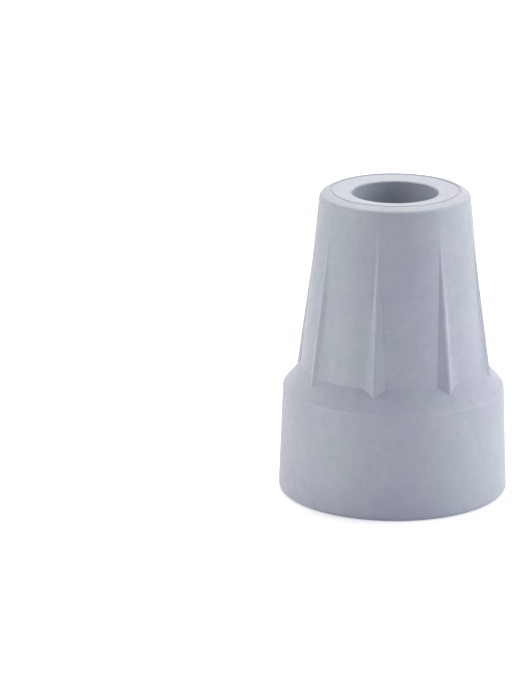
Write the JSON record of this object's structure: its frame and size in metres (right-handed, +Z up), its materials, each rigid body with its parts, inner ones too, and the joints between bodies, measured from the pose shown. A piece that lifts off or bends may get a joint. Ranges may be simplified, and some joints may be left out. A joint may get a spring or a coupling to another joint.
{
  "type": "cane tip",
  "caption": "Rubber tip for a cane or crutch: a tapered barrel with flat-faced raised pads and a blind socket, on a wide foot with a tread of concentric rings.",
  "frame": {"origin": "centre of the tread, on the floor that the tip stands on", "axes": "+Z up along the axis of the tip, out of the socket's mouth; -Y out of the middle of one gap between two raised pads"},
  "size_m": [0.0428, 0.0428, 0.0574],
  "materials": {
    "rubber": "matte"
  },
  "bodies": {
    "root": {"cane_tip": "rubber"}
  },
  "joints": []
}
